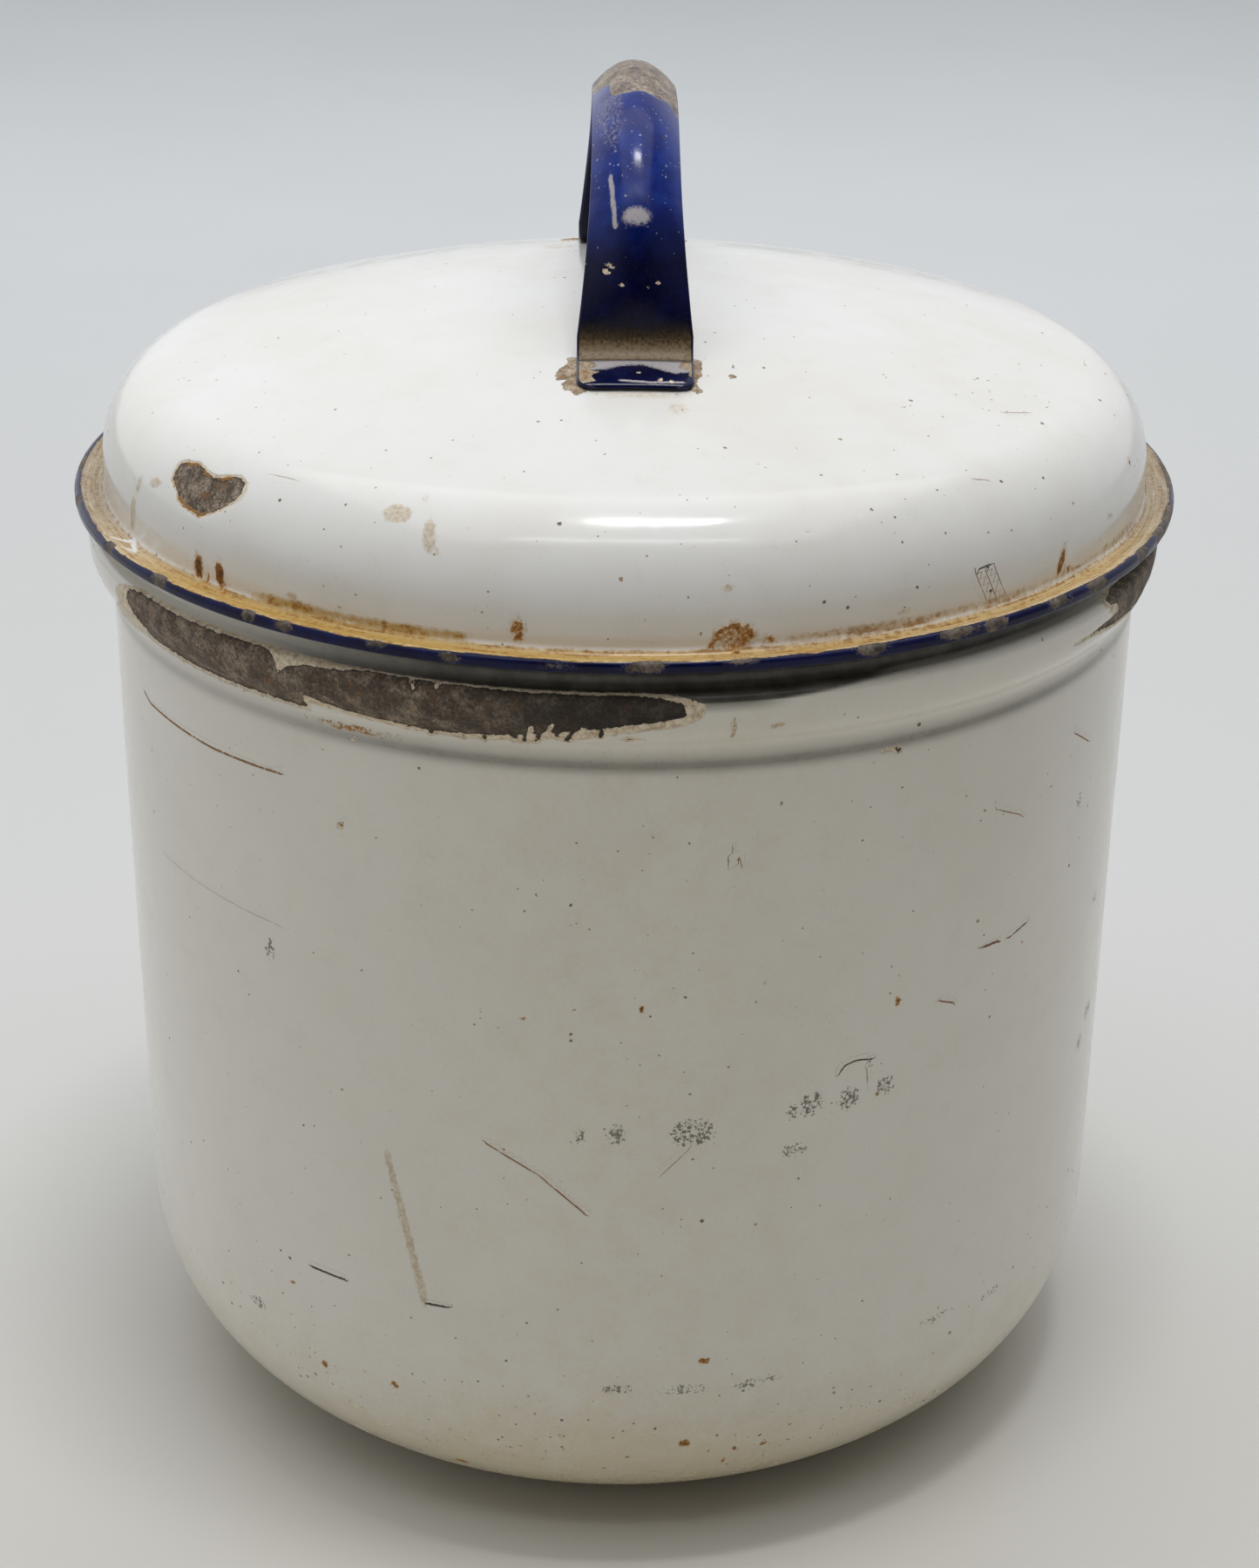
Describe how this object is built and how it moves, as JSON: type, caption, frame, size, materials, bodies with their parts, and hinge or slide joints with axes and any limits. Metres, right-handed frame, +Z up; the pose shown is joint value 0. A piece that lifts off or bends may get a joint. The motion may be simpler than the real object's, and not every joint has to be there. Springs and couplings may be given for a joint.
{
  "type": "enamelled steel lidded jar",
  "caption": "Round enamelled steel jar with a wider collar, a loose domed lid with a gutter rim, and an arched strap handle on top.",
  "frame": {"origin": "centre of the base, on the surface that the jar stands on", "axes": "+Z up along the jar's axis; the handle arches along Y, from front (-Y) to rear (+Y)"},
  "size_m": [0.247, 0.247, 0.3088],
  "materials": {
    "white_enamel": "glossy fired enamel, chipped",
    "blue_enamel": "glossy fired enamel, worn",
    "bare_steel": "dull weld"
  },
  "bodies": {
    "pot": {"pot_shell": "white_enamel"},
    "lid": {"lid_shell": "white_enamel", "lid_rim": "blue_enamel", "lid_handle": "blue_enamel", "spot_welds": "bare_steel"}
  },
  "joints": [
    {"name": "lid_lift", "type": "slide", "parent": "pot", "child": "lid", "axis": [0, 0, 1], "range_m": [0, 0.08]}
  ]
}
